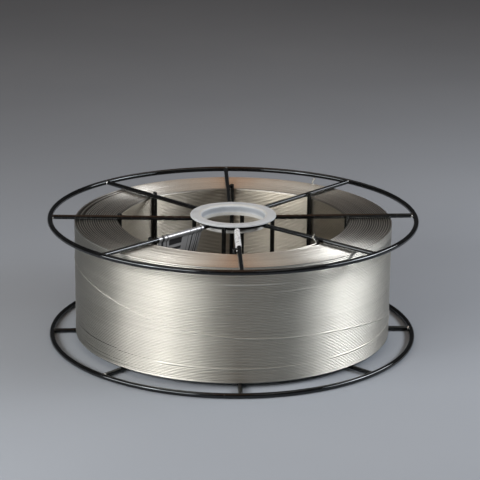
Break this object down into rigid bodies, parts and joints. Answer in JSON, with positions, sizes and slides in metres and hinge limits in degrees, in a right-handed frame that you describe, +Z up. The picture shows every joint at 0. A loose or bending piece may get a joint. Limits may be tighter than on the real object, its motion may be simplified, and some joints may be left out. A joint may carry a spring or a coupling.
{
  "type": "wire coil on basket spool",
  "caption": "Coil of bright steel welding wire wound on a black wire basket spool with spoked flanges and flanged plastic hub bushes.",
  "frame": {"origin": "centre of the spool's axis on the floor, under the lower flange", "axes": "+Z up along the spool's axis, -Y towards the front spoke, +X to its right"},
  "size_m": [0.3, 0.3, 0.1016],
  "materials": {
    "wire": "bright drawn stainless wire, level wound",
    "basket": "gloss black coated wire",
    "bush": "natural translucent moulded plastic",
    "foil": "silver foil label, bare",
    "paper": "white coated paper label, bare"
  },
  "bodies": {
    "root": {"wire_pack": "wire", "bottom_ring": "basket", "top_ring": "basket", "bottom_hub_ring": "basket", "top_hub_ring": "basket", "bottom_bush": "bush", "top_bush": "bush", "bottom_spoke_1": "basket", "bottom_spoke_2": "basket", "bottom_spoke_3": "basket", "bottom_spoke_4": "basket", "bottom_spoke_5": "basket", "bottom_spoke_6": "basket", "bottom_spoke_7": "basket", "bottom_spoke_8": "basket", "top_spoke_1": "basket", "top_spoke_2": "basket", "top_spoke_3": "basket", "top_spoke_4": "basket", "top_spoke_5": "basket", "top_spoke_6": "basket", "top_spoke_7": "basket", "top_spoke_8": "basket", "core_post_1": "basket", "core_post_2": "basket", "core_post_3": "basket", "core_post_4": "basket", "core_post_5": "basket", "core_post_6": "basket", "core_post_7": "basket", "core_post_8": "basket", "hub_post_1": "basket", "hub_post_2": "basket", "hub_post_3": "basket", "hub_post_4": "basket", "foil_label": "foil", "paper_label": "paper"}
  },
  "joints": []
}
